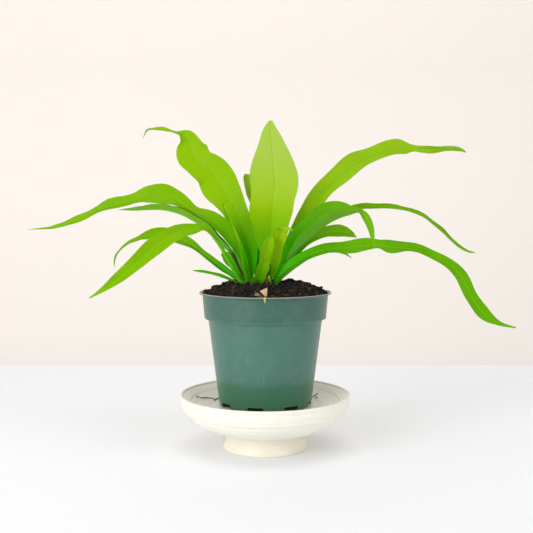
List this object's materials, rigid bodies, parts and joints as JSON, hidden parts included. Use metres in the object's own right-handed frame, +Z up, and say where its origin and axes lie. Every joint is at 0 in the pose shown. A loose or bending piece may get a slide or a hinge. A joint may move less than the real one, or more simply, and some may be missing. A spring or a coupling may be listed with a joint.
{
  "type": "potted fern",
  "caption": "Young strap-leaved fern with arching lime fronds in a banded green nursery pot with drain slots, standing in a cream footed dish.",
  "frame": {"origin": "centre of the dish's foot, on the surface it stands on", "axes": "+Z up; +X to the right along the longest spread of fronds, -Y towards the viewer's side"},
  "size_m": [0.4001, 0.1408, 0.2705],
  "materials": {
    "cream_glaze": "satin cream glaze over fine throwing lines",
    "pot_plastic": "moulded green polypropylene, dusty, a little translucent",
    "soil": "moist dark bark and peat crumbs",
    "crown_fibre": "dark matted fibre and scales",
    "frond_green": "soft gloss, light shows through",
    "dead_stem": "dull red brown",
    "pale_bark": "dry raw wood",
    "old_leaf": "dull olive",
    "dry_root": "dull dry root"
  },
  "bodies": {
    "root": {"footed_dish": "cream_glaze", "nursery_pot": "pot_plastic", "potting_soil": "soil", "crown": "crown_fibre", "centre_frond": "frond_green", "upper_left_frond": "frond_green", "long_left_frond": "frond_green", "under_left_frond": "frond_green", "low_left_frond": "frond_green", "back_left_frond": "frond_green", "thin_left_frond": "frond_green", "short_left_frond": "frond_green", "young_curled_frond": "frond_green", "back_rolled_frond": "frond_green", "front_hooded_frond": "frond_green", "front_short_frond": "frond_green", "upper_right_frond": "frond_green", "right_bent_frond": "frond_green", "thin_right_frond": "frond_green", "short_right_frond": "frond_green", "long_right_frond": "frond_green", "low_back_right_frond": "frond_green", "dead_stipe": "dead_stem", "tiny_bud": "frond_green", "wood_chip": "pale_bark", "bark_sliver": "pale_bark", "leaf_scrap": "old_leaf", "loose_rootlet_1": "dry_root", "loose_rootlet_2": "dry_root", "loose_rootlet_3": "dry_root", "loose_rootlet_4": "dry_root", "loose_rootlet_5": "dry_root"}
  },
  "joints": []
}
